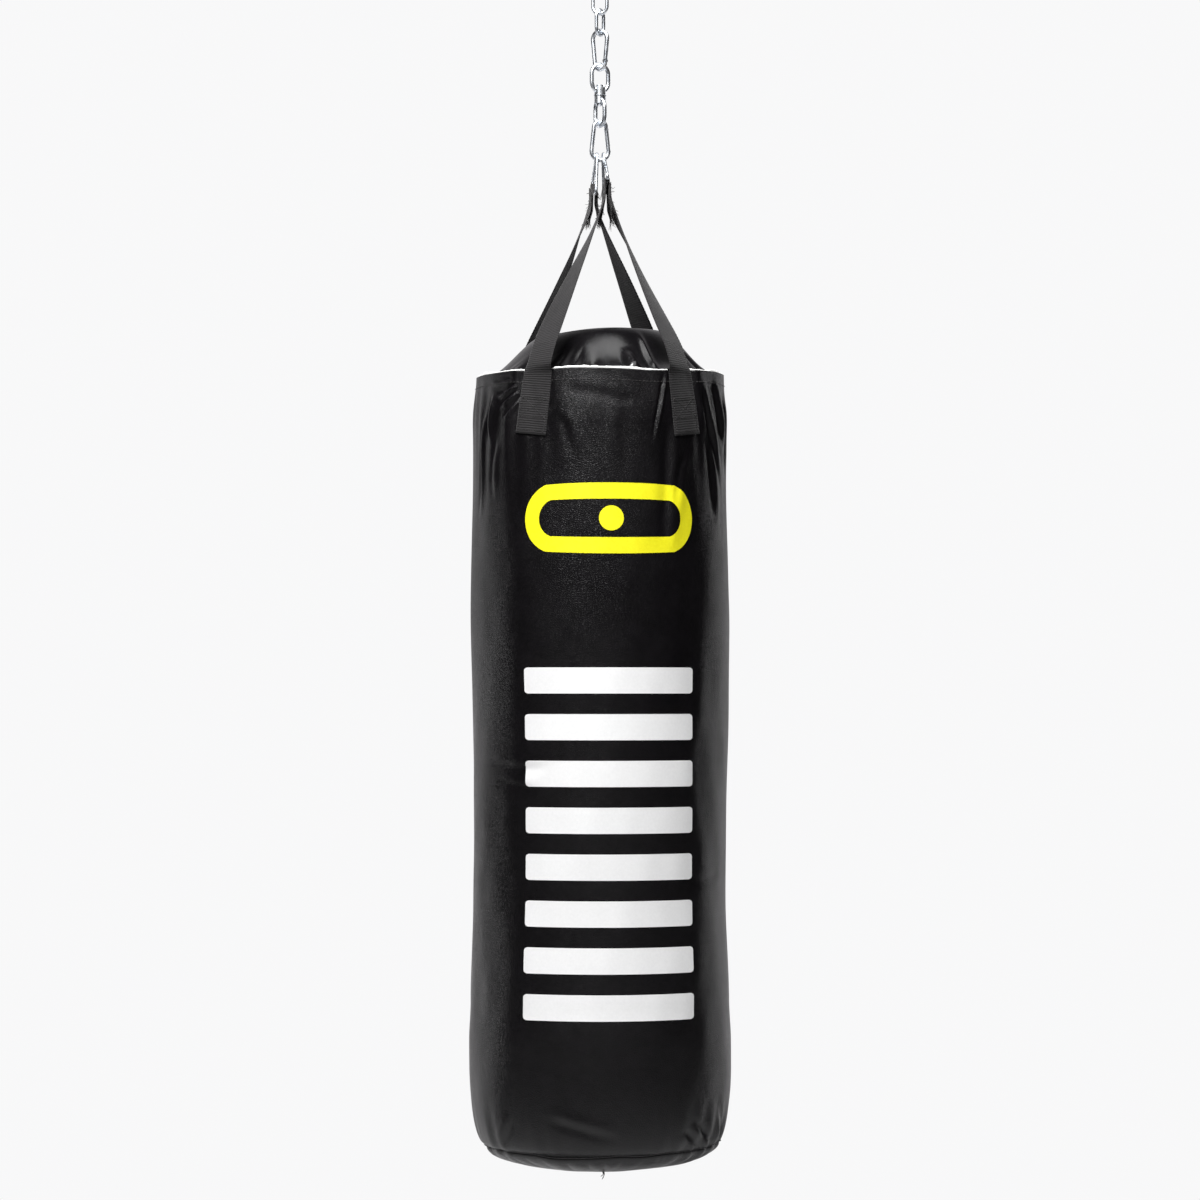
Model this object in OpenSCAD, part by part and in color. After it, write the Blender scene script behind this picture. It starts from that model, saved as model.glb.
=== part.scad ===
// Heavy punching bag that hangs from a ceiling plate.
// From the top down: plate and U-shaped eye, three chain links, a snap hook,
// a two-part swivel, a second snap hook, two triangular rings side by side,
// four webbing straps sewn to the outside of a filled round cover.
// Everything hangs below the origin, which is the centre of the plate's upper face.

/* [Bag] */
// Diameter of the filled cover over its middle
bag_d = 356; // [340:1:370]
// Diameter of the cover at its upper edge
hem_d = 344; // [336:1:350]
// Height of the cover from its upper edge down to the bottom seam
cover_h = 1068; // [900:1:1200]
// Diameter of the bottom seam
seam_d = 318; // [306:1:326]
// How far the bottom panel bulges below its seam
bottom_bulge = 34; // [20:1:45]
// How far the top cover rises above the cover's upper edge
top_rise = 60; // [40:1:75]
// Thickness of the cover
cover_t = 2.5; // [2:0.1:3]
// Turn of the bag about the vertical
bag_yaw = 0; // [-10:1:10]

/* [Straps] */
// Webbing width
web_w = 50; // [44:1:50]
// Webbing thickness
web_t = 1.4; // [1.2:0.1:1.5]
// Distance from the ring bars down to the cover's upper edge
strap_drop = 260.5; // [240:0.5:300]
// Length of webbing sewn to the outside of the cover
sewn_h = 92; // [70:1:110]
// Angle of each strap from the front or back, where it crosses the upper edge
strap_az = 34; // [32:1:38]
// The same at the strap's sewn lower end
strap_foot_az = 37.7; // [36:0.1:42]
// Length of the doubled neck before the two straps part
neck_h = 25; // [20:1:30]
// Length of the loose tails below the ring bar
tail_h = 44; // [36:1:50]

/* [Rings] */
// Rod of the two triangular rings
ring_rod = 4.5; // [4:0.1:5]
// Clear width of a ring along its bar
ring_w = 54; // [54:1:58]
// Height of a ring between rod centres
ring_h = 50; // [46:1:54]
// Lean of each ring towards its own pair of straps
ring_lean = 19; // [15:1:22]

/* [Snap hooks] */
// Hook rod
hook_rod = 6; // [6:0.1:6.2]
// Overall hook length
hook_len = 60; // [60:1:64]
// Overall width of the wide end
hook_w = 30; // [30:1:32]
// Overall width of the narrow end
hook_tip_w = 23; // [22:1:24]
// Turn of the upper hook about the vertical
upper_hook_yaw = -40; // [-45:1:-25]
// Turn of the lower hook about the vertical
lower_hook_yaw = 5; // [0:1:10]

/* [Swivel] */
// Rod of the two swivel eyes
swivel_rod = 6; // [5.5:0.1:6]
// Overall width of a swivel eye
swivel_w = 33; // [32:1:36]
// Height from the upper eye's rod centre to the turning face
upper_eye_h = 42.4; // [41:0.1:46]
// Height from the turning face to the lower eye's rod centre
lower_eye_h = 43.2; // [42:0.1:47]
// Turn of the upper eye about the vertical
upper_eye_yaw = 27; // [20:1:40]
// Turn of the lower eye about the vertical
lower_eye_yaw = -67; // [-75:1:-55]

/* [Chain and ceiling plate] */
// Chain rod
link_rod = 5; // [4.5:0.1:5]
// Overall length of a link
link_len = 40; // [40:1:44]
// Overall width of a link
link_w = 26; // [26:1:28]
// Side of the square ceiling plate
plate_w = 80; // [76:1:100]
// Thickness of the ceiling plate
plate_t = 5; // [4:0.5:6]
// Spacing of the four screw holes
hole_pitch = 60; // [52:1:64]
// Diameter of the screw holes
hole_d = 8.5; // [6.5:0.1:9]
// Rod of the ceiling eye
eye_rod = 8; // [8:0.5:9]
// Depth of the ceiling eye's rod centre below the plate's upper face
eye_drop = 42; // [40:1:50]

/* [Hidden] */

hang = 0.35;            // gap left between linked rods
link_yaw = [70, -27, 57];
link_r = (link_w - link_rod) / 2;
link_cc = link_len - link_rod;

link_top = -eye_drop + (eye_rod + link_rod) / 2 + hang;
link_step = link_cc - link_rod - hang;
chain_end = link_top - 2 * link_step - link_cc;

upper_hook_top = chain_end + (link_rod + hook_rod) / 2 + hang;
hook_cc = hook_len - hook_rod;
upper_hook_end = upper_hook_top - hook_cc;
upper_eye_top = upper_hook_end + (hook_rod + swivel_rod) / 2 + hang;
turn_z = upper_eye_top - upper_eye_h;
lower_eye_end = turn_z - lower_eye_h;
lower_hook_top = lower_eye_end + (swivel_rod + hook_rod) / 2 + hang;
lower_hook_end = lower_hook_top - hook_cc;

hook_r = (hook_w - hook_rod) / 2;
hook_tip_r = (hook_tip_w - hook_rod) / 2;
hook_slope = asin((hook_r - hook_tip_r) / (hook_cc - hook_r - hook_tip_r));
gate_line = sqrt(pow(hook_cc - hook_r - hook_tip_r, 2) - pow(hook_r - hook_tip_r, 2));
pin_at = 3.7;           // hinge pin beyond the narrow bend
gate_len = gate_line - pin_at - 3;
tongue_t = 2.2;
slot_t = 2.9;
pin_r = 1.25;
rivet_r = 0.9;

swivel_r = (swivel_w - swivel_rod) / 2;
boss_r = 8;
boss_h = 10.4;
stud_r = 3.2;
washer_t = 1;
running = 0.05;

ring_x_top = 4.4;       // half spacing of the two rings on the hook
ring_x_bar = 7;         // half spacing of their bars
ring_seat = 7.8;        // ring rod centre above the hook's lowest rod centre
ring_back = 1.9;        // ring rod centre behind the hook rod
ring_splay = asin((ring_x_bar - ring_x_top) / ring_h);
ring_top_z = lower_hook_end + ring_seat;
ring_drop = ring_h * cos(ring_splay);
bar_y = ring_back - ring_drop * sin(ring_lean);
bar_z = ring_top_z - ring_drop * cos(ring_lean);

web_gap = 0.1;
leg_x = ring_rod / 2 + web_gap + web_t * 1.5 + web_gap / 2;
hem_z = bar_z - strap_drop;
seam_z = hem_z - cover_h;
bag_r = bag_d / 2;
hem_r = hem_d / 2;
seam_r = seam_d / 2;
strap_off = 0.7 + web_t / 2;
crown_r = 75;           // flat part of the top cover

zinc = [0.78, 0.79, 0.80];
webbing = [0.17, 0.16, 0.15];
vinyl = [0.03, 0.03, 0.035];
backing = [0.85, 0.85, 0.83];
padding = [0.55, 0.53, 0.5];

function unit(v) = v / norm(v);
function mix(a, b, k) = a + (b - a) * k;
function part_of(k) = min(1, max(0, k));

// Half width of the cover at height z
function cover_r(z) =
    let (neck = part_of((z - hem_z + 300) / 300), foot = part_of((seam_z + 90 - z) / 90))
    bag_r - (bag_r - hem_r) * neck * neck
    - (bag_r - seam_r) * (1 - sqrt(1 - foot * foot));

// Height of the top cover above its rim at radius r, for a rim radius rim:
// a flat crown that eases down to the rim
function dome(r, rim) =
    let (s = part_of((r - crown_r) / (rim - crown_r)))
    (top_rise + 6) * (1 - s * s * (3 - 2 * s));

// Depth of the bottom panel below the seam at radius r, for a rim radius rim
function bulge(r, rim) = bottom_bulge * sqrt(1 - pow(r / rim, 2));

// Direction of the outward normal of the line from circle a to circle b
function touch(a, b) =
    let (dx = b[0] - a[0], dz = b[1] - a[1])
    atan2(dz, dx) - acos((a[2] - b[2]) / norm([dx, dz]));

// Bent rod around one circle [x, z, radius], in the XZ plane
module bend(c, from, sweep, rod) {
    translate([c[0], 0, c[1]])
        rotate([90, 0, 0])
            rotate([0, 0, from])
                rotate_extrude(angle = sweep, $fn = 96)
                    translate([c[2], 0])
                        circle(d = rod, $fn = 48);
}

// Straight rod that touches circles a and b on their outward side.
// It is a hair thinner than the bends and ends just inside them.
lap = 0.3;
module run(a, b, rod) {
    n = touch(a, b);
    dx = b[0] + b[2] * cos(n) - a[0] - a[2] * cos(n);
    dz = b[1] + b[2] * sin(n) - a[1] - a[2] * sin(n);
    translate([a[0] + a[2] * cos(n), 0, a[1] + a[2] * sin(n)])
        rotate([0, atan2(dx, dz), 0])
            translate([0, 0, -lap])
                cylinder(h = norm([dx, dz]) + 2 * lap, d = rod - 0.04, $fn = 48);
}

// Closed loop of rod around circles listed anticlockwise
module rod_loop(circles, rod) {
    n = len(circles);
    for (i = [0 : n - 1]) {
        a = circles[(i + n - 1) % n];
        b = circles[i];
        c = circles[(i + 1) % n];
        from = touch(a, b);
        sweep = (touch(b, c) - from + 720) % 360;
        bend(b, from, sweep, rod);
        run(b, c, rod);
    }
}

module ceiling_plate() {
    w = plate_w / 2;
    c = w - 9;
    color(zinc)
        difference() {
            translate([0, 0, -plate_t])
                linear_extrude(plate_t)
                    polygon([[w, -c], [w, c], [c, w], [-c, w], [-w, c], [-w, -c], [-c, -w], [c, -w]]);
            for (x = [-1, 1], y = [-1, 1])
                translate([x * hole_pitch / 2, y * hole_pitch / 2, -plate_t - 1])
                    cylinder(h = plate_t + 2, d = hole_d, $fn = 48);
        }
}

module ceiling_eye() {
    r = 14;
    color(zinc) {
        bend([0, r - eye_drop, r], 180, 180, eye_rod);
        for (x = [-r, r])
            translate([x, 0, r - eye_drop])
                cylinder(h = eye_drop - r - plate_t, d = eye_rod, $fn = 48);
    }
}

module chain_link(i) {
    top = link_top - i * link_step;
    color(zinc)
        rotate([0, 0, link_yaw[i]])
            rod_loop([[0, top - link_r, link_r], [0, top - link_cc + link_r, link_r]], link_rod);
}

// Snap hook drawn with its wide end up and the wide bend's top rod centre at the origin.
// The gate side is +X.
wide = [0, -hook_r, hook_r];
narrow = [0, hook_tip_r - hook_cc, hook_tip_r];

// Moves children to the start of the gate line, with +Z running up it and +X outward
module on_gate_line(at) {
    n = -hook_slope;
    translate([hook_tip_r * cos(n), 0, narrow[1] + hook_tip_r * sin(n)])
        rotate([0, hook_slope, 0])
            translate([0, 0, at])
                children();
}

module hook_frame() {
    difference() {
        union() {
            bend(wide, -hook_slope, 180 + 2 * hook_slope, hook_rod);
            bend(narrow, 180 + hook_slope, 180 - 2 * hook_slope, hook_rod);
            run(wide, narrow, hook_rod);
            on_gate_line(-1)
                translate([-2.3, -tongue_t / 2, 0])
                    cube([4.6, tongue_t, pin_at + 1]);
            on_gate_line(pin_at)
                rotate([90, 0, 0])
                    translate([0, 0, -tongue_t / 2])
                        cylinder(h = tongue_t, r = 2.6, $fn = 48);
            on_gate_line(gate_line - 6)
                translate([-2.3, -tongue_t / 2, 0])
                    cube([4.6, tongue_t, 7]);
        }
        on_gate_line(pin_at)
            rotate([90, 0, 0])
                translate([0, 0, -5])
                    cylinder(h = 10, r = pin_r, $fn = 48);
        on_gate_line(gate_line - 3 - rivet_r - 0.45)
            translate([-4, -2, 0])
                cube([4 + rivet_r + 0.45, 4, 2 * rivet_r + 0.9]);
    }
}

module hook_pin() {
    on_gate_line(pin_at)
        rotate([90, 0, 0])
            translate([0, 0, -3.1])
                cylinder(h = 6.2, r = pin_r, $fn = 48);
}

module hook_gate() {
    difference() {
        union() {
            on_gate_line(pin_at)
                cylinder(h = gate_len + 2.5, d = 5.8, $fn = 48);
            on_gate_line(pin_at)
                rotate([90, 0, 0])
                    translate([0, 0, -2.8])
                        cylinder(h = 5.6, r = 2.7, $fn = 48);
        }
        on_gate_line(pin_at)
            translate([-4, -slot_t / 2, -4])
                cube([8, slot_t, 7.2]);
        on_gate_line(gate_line - 6.6)
            translate([-4, -slot_t / 2, 0])
                cube([8, slot_t, 8]);
        on_gate_line(pin_at)
            rotate([90, 0, 0])
                translate([0, 0, -5])
                    cylinder(h = 10, r = pin_r + running, $fn = 48);
        on_gate_line(gate_line - 3)
            rotate([90, 0, 0])
                translate([0, 0, -5])
                    cylinder(h = 10, r = rivet_r, $fn = 48);
    }
}

module gate_rivet() {
    on_gate_line(gate_line - 3)
        rotate([90, 0, 0])
            translate([0, 0, -2.8])
                cylinder(h = 5.6, r = rivet_r, $fn = 48);
}

// The upper hook hangs wide end up, the lower hook wide end down
module at_upper_hook() {
    translate([0, 0, upper_hook_top])
        rotate([0, 0, upper_hook_yaw])
            children();
}

module at_lower_hook() {
    translate([0, 0, lower_hook_end])
        rotate([0, 0, lower_hook_yaw])
            rotate([180, 0, 0])
                children();
}

// Swivel eye: a loop of rod with a round boss on the turning face
module swivel_eye(z_face, z_rod, bore_r) {
    up = z_rod > z_face ? 1 : -1;
    z_base = z_face + up * 4.5;
    lo = min(z_base, z_rod);
    hi = max(z_base, z_rod);
    difference() {
        union() {
            rod_loop([[0, hi - swivel_r, swivel_r], [0, lo + swivel_r, swivel_r]], swivel_rod);
            translate([0, 0, min(z_face, z_face + up * boss_h)])
                cylinder(h = boss_h, r = boss_r, $fn = 64);
        }
        translate([0, 0, z_face - 14])
            cylinder(h = 28, r = bore_r, $fn = 48);
    }
}

module swivel_upper_eye() {
    color(zinc)
        rotate([0, 0, upper_eye_yaw])
            swivel_eye(turn_z, upper_eye_top, stud_r + running);
}

module swivel_lower_eye() {
    color(zinc)
        rotate([0, 0, lower_eye_yaw])
            swivel_eye(turn_z - washer_t - hang, lower_eye_end, stud_r);
}

module swivel_washer() {
    color(zinc)
        translate([0, 0, turn_z - washer_t])
            difference() {
                cylinder(h = washer_t, r = boss_r + 0.8, $fn = 64);
                translate([0, 0, -1])
                    cylinder(h = washer_t + 2, r = stud_r + running, $fn = 48);
            }
}

module swivel_stud() {
    head = turn_z + boss_h + hang;
    foot = turn_z - washer_t - hang - boss_h;
    color(zinc) {
        translate([0, 0, foot])
            cylinder(h = head - foot, r = stud_r, $fn = 48);
        translate([0, 0, head])
            cylinder(h = 3.4, r = 5.2, $fn = 48);
        translate([0, 0, foot - 3.4])
            cylinder(h = 3.4, r = 5.2, $fn = 48);
    }
}

// The front pair of straps and its ring; the rear pair is the same turned half round
module on_bag(half) {
    rotate([0, 0, bag_yaw + 180 * half])
        children();
}

module ring(half) {
    half_w = (ring_w + ring_rod) / 2;
    corner = 4;
    color(zinc)
        on_bag(half)
            translate([ring_x_top, ring_back, ring_top_z])
                rotate([-ring_lean, 0, 0])
                    rotate([0, -ring_splay, 0])
                        rotate([0, 0, 90])
                            rod_loop([[0, -8, 8], [corner - half_w, corner - ring_h, corner],
                                [half_w - corner, corner - ring_h, corner]], ring_rod);
}

// Short doubled webbing over the ring bar, with its two tails hanging between the straps
module web_loop(half) {
    inner = ring_rod / 2 + web_gap;
    color(webbing)
        on_bag(half)
            translate([ring_x_bar, bar_y, bar_z])
                rotate([-ring_lean, 0, 0])
                    difference() {
                        union() {
                            rotate([90, 0, 0])
                                translate([0, 0, -web_w / 2])
                                    cylinder(h = web_w, r = inner + web_t, $fn = 64);
                            translate([-inner - web_t, -web_w / 2, -tail_h])
                                cube([2 * (inner + web_t), web_w, tail_h]);
                        }
                        rotate([90, 0, 0])
                            translate([0, 0, -web_w / 2 - 1])
                                cylinder(h = web_w + 2, r = inner, $fn = 64);
                        translate([-inner, -web_w / 2 - 1, -tail_h - 1])
                            cube([2 * inner, web_w + 2, tail_h + 1]);
                    }
}

// Centre line of a strap on side -1 (left) or 1 (right) of its pair, from the sewn foot up
lean = [0, -sin(ring_lean), -cos(ring_lean)];
bar_dir = [0, cos(ring_lean), -sin(ring_lean)];
foot_z = hem_z - sewn_h;

function strap_knots(side) =
    let (r0 = cover_r(foot_z) + strap_off, r1 = hem_r + strap_off,
        a0 = side * strap_foot_az, a1 = side * strap_az,
        bar = [ring_x_bar + side * leg_x, bar_y, bar_z])
    [[r0 * sin(a0), -r0 * cos(a0), foot_z],
        [r1 * sin(a1), -r1 * cos(a1), hem_z + 5],
        bar + lean * neck_h,
        bar + lean * 3];

function strap_raw(k, s) =
    let (a = norm(k[1] - k[0]), b = norm(k[2] - k[1]), c = norm(k[3] - k[2]))
    s < a ? mix(k[0], k[1], s / a)
    : s < a + b ? mix(k[1], k[2], (s - a) / b)
    : mix(k[2], k[3], (s - a - b) / c);

function strap_mid(k, s) = (strap_raw(k, s - 8) + strap_raw(k, s) + strap_raw(k, s + 8)) / 3;

// One cross row of the strap: outer face left to right, then inner face back
function strap_row(side, k, s) =
    let (a = norm(k[1] - k[0]), b = norm(k[2] - k[1]),
        turn = part_of((s - a) / b),
        az = side * mix(strap_foot_az, strap_az, part_of(s / a)),
        h = unit(mix([cos(az), sin(az), 0], bar_dir * side, turn)),
        along = unit(strap_mid(k, s + 3) - strap_mid(k, s - 3)),
        w = unit(h - along * (h * along)),
        n = cross(w, along),
        curl = pow(1 - turn, 2) / (2 * bag_r))
    [for (face = [1, -1], v = [-2 : 2])
        let (across = face * v * web_w / 4)
        strap_mid(k, s) + w * across + n * (face * web_t / 2 - curl * across * across)];

module strap(half, side) {
    k = strap_knots(side);
    total = norm(k[1] - k[0]) + norm(k[2] - k[1]) + norm(k[3] - k[2]);
    rows = 40;
    rim = 10;
    points = [for (i = [0 : rows]) each strap_row(side, k, total * i / rows)];
    walls = [for (i = [0 : rows - 1], j = [0 : rim - 1])
        let (a = i * rim + j, b = i * rim + (j + 1) % rim)
        each [[a, a + rim, b + rim], [a, b + rim, b]]];
    foot = [for (j = [0 : 3]) each [[j, j + 1, 8 - j], [j, 8 - j, 9 - j]]];
    head = [for (f = foot) [for (m = [2, 1, 0]) f[m] + rows * rim]];
    color(webbing)
        on_bag(half)
            polyhedron(points, concat(walls, foot, head), convexity = 6);
}

module shell() {
    steps = 60;
    outer = [for (i = [0 : steps])
        let (z = hem_z - cover_h * (1 - pow(1 - i / steps, 1.6)))
        [cover_r(z), z]];
    inner = [for (i = [steps : -1 : 0]) [outer[i][0] - cover_t, outer[i][1]]];
    color(vinyl)
        rotate_extrude($fn = 180)
            polygon(concat(outer, inner));
}

module hem_facing() {
    r = hem_r - cover_t - 0.3;
    color(backing)
        translate([0, 0, hem_z - 32])
            difference() {
                cylinder(h = 34.2, r = r, $fn = 180);
                translate([0, 0, -1])
                    cylinder(h = 37, r = r - 2.2, $fn = 180);
            }
}

module hem_thread() {
    z = hem_z - 17;
    color(vinyl)
        translate([0, 0, z])
            rotate_extrude($fn = 180)
                translate([cover_r(z) + 0.32, 0])
                    circle(d = 0.6, $fn = 24);
}

top_rim = hem_r - cover_t - 5;

module top_cover() {
    t = 2;
    n = 24;
    base = hem_z - 6;
    outer = [for (i = [0 : n])
        let (r = top_rim * (1 - i / n))
        [r, base + dome(r, top_rim)]];
    inner = [for (i = [n : -1 : 0])
        let (r = (top_rim - t) * (1 - i / n))
        [r, base - t + dome(r, top_rim - t)]];
    color(vinyl)
        rotate_extrude($fn = 180)
            polygon(concat([[top_rim, hem_z - 32]], outer, inner, [[top_rim - t, hem_z - 32]]));
}

module bottom_panel() {
    t = 3;
    n = 24;
    rim = seam_r + 0.5;
    top = seam_z - 1.2;
    outer = [for (i = [0 : n])
        let (r = (rim - 1) * sin(90 * (1 - i / n)))
        [r, top - bulge(r, rim)]];
    inner = [for (i = [n : -1 : 0])
        let (r = (rim - 1 - t) * sin(90 * (1 - i / n)))
        [r, top - bulge(r, rim - t) + t]];
    color(vinyl)
        rotate_extrude($fn = 180)
            polygon(concat([[rim - 1, top]], outer, inner, [[rim - 1 - t, top]]));
}

module bottom_thread() {
    color(vinyl)
        translate([0, 0, seam_z - 0.6])
            rotate_extrude($fn = 180)
                translate([seam_r - 1.3, 0])
                    circle(d = 0.9, $fn = 24);
}

module fill() {
    gap = cover_t + 0.8;
    steps = 40;
    n = 24;
    rim = seam_r - 4;
    low = seam_z - 1.2;
    side = [for (i = [0 : steps])
        let (z = mix(hem_z - 34, seam_z + 3, 1 - pow(1 - i / steps, 1.6)))
        [cover_r(z) - gap, z]];
    under = [for (i = [0 : n])
        let (r = (rim - 1) * sin(90 * (1 - i / n)))
        [r, low - bulge(r, rim) + 5]];
    crown = [for (i = [n : -1 : 0])
        let (r = (top_rim - 3.5) * (1 - i / n))
        [r, hem_z - 9.5 + dome(r, top_rim - 3.5)]];
    color(padding)
        rotate_extrude($fn = 180)
            polygon(concat(side, under, crown, [[top_rim - 3.5, hem_z - 34]]));
}

ceiling_plate();
ceiling_eye();
chain_link(0);  // chain_link_1
chain_link(1);  // chain_link_2
chain_link(2);  // chain_link_3
color(zinc) at_upper_hook() hook_frame();  // upper_hook_frame
color(zinc) at_upper_hook() hook_pin();  // upper_hook_pin
color(zinc) at_upper_hook() hook_gate();  // upper_hook_gate
color(zinc) at_upper_hook() gate_rivet();  // upper_gate_rivet
swivel_upper_eye();
swivel_washer();
swivel_stud();
swivel_lower_eye();
color(zinc) at_lower_hook() hook_frame();  // lower_hook_frame
color(zinc) at_lower_hook() hook_pin();  // lower_hook_pin
color(zinc) at_lower_hook() hook_gate();  // lower_hook_gate
color(zinc) at_lower_hook() gate_rivet();  // lower_gate_rivet
ring(0);  // front_ring
ring(1);  // rear_ring
web_loop(0);  // front_loop
web_loop(1);  // rear_loop
strap(0, -1);  // front_left_strap
strap(0, 1);  // front_right_strap
strap(1, 1);  // rear_left_strap
strap(1, -1);  // rear_right_strap
shell();
hem_facing();
hem_thread();
top_cover();
bottom_panel();
bottom_thread();
fill();
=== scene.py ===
"""Looks for a hanging punching bag: vinyl cover, webbing straps, zinc-plated hardware."""
import math

import bmesh
import bpy
import numpy as np
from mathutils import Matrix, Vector


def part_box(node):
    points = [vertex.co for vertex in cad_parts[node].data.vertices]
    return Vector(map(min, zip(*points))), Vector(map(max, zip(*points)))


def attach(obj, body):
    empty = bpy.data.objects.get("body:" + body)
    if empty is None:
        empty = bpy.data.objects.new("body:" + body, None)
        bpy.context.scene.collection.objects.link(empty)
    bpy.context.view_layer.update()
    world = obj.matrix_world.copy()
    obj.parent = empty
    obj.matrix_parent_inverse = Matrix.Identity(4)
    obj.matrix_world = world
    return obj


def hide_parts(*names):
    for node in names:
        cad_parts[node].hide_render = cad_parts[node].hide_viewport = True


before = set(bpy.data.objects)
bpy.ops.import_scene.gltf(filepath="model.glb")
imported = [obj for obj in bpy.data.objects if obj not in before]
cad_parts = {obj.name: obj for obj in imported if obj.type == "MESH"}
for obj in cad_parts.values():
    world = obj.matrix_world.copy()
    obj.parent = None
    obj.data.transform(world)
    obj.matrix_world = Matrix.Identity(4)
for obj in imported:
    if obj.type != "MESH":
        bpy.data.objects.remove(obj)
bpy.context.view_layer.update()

MM = 0.001
shell_lo, shell_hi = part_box("shell")
hook_lo, hook_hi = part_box("lower_hook_frame")
HEM_Z = shell_hi.z
SEAM_Z = shell_lo.z
BAG_R = shell_hi.x
BOTTOM_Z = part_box("bottom_panel")[0].z

# the same driving sizes as the CAD part, in metres
HEM_R = 172 * MM
SEAM_R = 159 * MM
COVER_T = 2.5 * MM
WEB_W = 50 * MM
WEB_T = 1.4 * MM
SEWN_H = 92 * MM
STRAP_AZ = math.radians(34)
STRAP_FOOT_AZ = math.radians(37.7)
NECK_H = 25 * MM
RING_LEAN = math.radians(19)
RING_H = 50 * MM
RING_SEAT = 10.8 * MM     # ring rod centre above the lower hook's lowest point
RING_BACK = 1.9 * MM
RING_X_TOP = 4.4 * MM
BAR_X = 7 * MM
RING_DROP = math.sqrt(RING_H**2 - (BAR_X - RING_X_TOP)**2)
BAR_Y = RING_BACK - RING_DROP * math.sin(RING_LEAN)
BAR_Z = hook_lo.z + RING_SEAT - RING_DROP * math.cos(RING_LEAN)
LEG_X = 2.25 * MM + 0.1 * MM + WEB_T * 1.5 + 0.05 * MM


# ---------------------------------------------------------------- camera, light, floor

CAMERA_AZ = math.radians(-5)
CAMERA_DISTANCE = 5.8
CAMERA_Z = BOTTOM_Z + 0.664
CAMERA_AIM_Z = BOTTOM_Z + 0.789
CAMERA_LENS = 125
FLOOR_Z = BOTTOM_Z - 0.5
PALE = (0.94, 0.94, 0.945, 1)


def add_camera():
    data = bpy.data.cameras.new("camera")
    data.lens = CAMERA_LENS
    data.sensor_width = 36
    data.clip_end = 100
    cam = bpy.data.objects.new("camera", data)
    cam.location = (math.sin(CAMERA_AZ) * CAMERA_DISTANCE, -math.cos(CAMERA_AZ) * CAMERA_DISTANCE, CAMERA_Z)
    aim = Vector((0, 0, CAMERA_AIM_Z)) - cam.location
    cam.rotation_euler = aim.to_track_quat("-Z", "Y").to_euler()
    bpy.context.scene.collection.objects.link(cam)
    bpy.context.scene.camera = cam


def add_area(name, place, aim, size, power, color=(1, 1, 1)):
    data = bpy.data.lights.new(name, "AREA")
    data.shape = "RECTANGLE"
    data.size, data.size_y = size
    data.energy = power
    data.color = color
    lamp = bpy.data.objects.new(name, data)
    lamp.location = place
    lamp.rotation_euler = (Vector(aim) - Vector(place)).to_track_quat("-Z", "Y").to_euler()
    lamp.visible_camera = False
    bpy.context.scene.collection.objects.link(lamp)


def add_world():
    """Pale all round to the camera; to the object, a studio that is brighter above and behind."""
    world = bpy.data.worlds.new("studio")
    bpy.context.scene.world = world
    world.use_nodes = True
    nodes, links = world.node_tree.nodes, world.node_tree.links
    nodes.clear()
    coord = nodes.new("ShaderNodeTexCoord")
    split = nodes.new("ShaderNodeSeparateXYZ")
    links.new(coord.outputs["Generated"], split.inputs[0])
    turned = nodes.new("ShaderNodeMapRange")
    turned.inputs["From Min"].default_value = -1
    turned.inputs["From Max"].default_value = 1
    links.new(split.outputs["Y"], turned.inputs["Value"])
    back = ramp(nodes, links, turned.outputs[0],
                [(0, 0.11), (0.38, 0.025), (0.60, 0.02), (0.74, 0.07), (0.84, 0.34), (0.92, 0.7), (1, 1)])
    raised = nodes.new("ShaderNodeMapRange")
    raised.inputs["From Min"].default_value = -1
    raised.inputs["From Max"].default_value = 1
    links.new(split.outputs["Z"], raised.inputs["Value"])
    up = ramp(nodes, links, raised.outputs[0],
              [(0, 0.8), (0.40, 1), (0.46, 0.9), (0.52, 0.5), (0.70, 0.45), (1, 0.9)])
    both = nodes.new("ShaderNodeMath")
    both.operation = "MULTIPLY"
    links.new(back, both.inputs[0])
    links.new(up, both.inputs[1])
    studio = nodes.new("ShaderNodeBackground")
    studio.inputs["Color"].default_value = (1, 0.975, 1, 1)
    links.new(both.outputs[0], studio.inputs["Strength"])
    seen = nodes.new("ShaderNodeBackground")
    seen.inputs["Color"].default_value = PALE
    path = nodes.new("ShaderNodeLightPath")
    mix = nodes.new("ShaderNodeMixShader")
    links.new(path.outputs["Is Camera Ray"], mix.inputs[0])
    links.new(studio.outputs[0], mix.inputs[1])
    links.new(seen.outputs[0], mix.inputs[2])
    out = nodes.new("ShaderNodeOutputWorld")
    links.new(mix.outputs[0], out.inputs[0])


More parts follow.
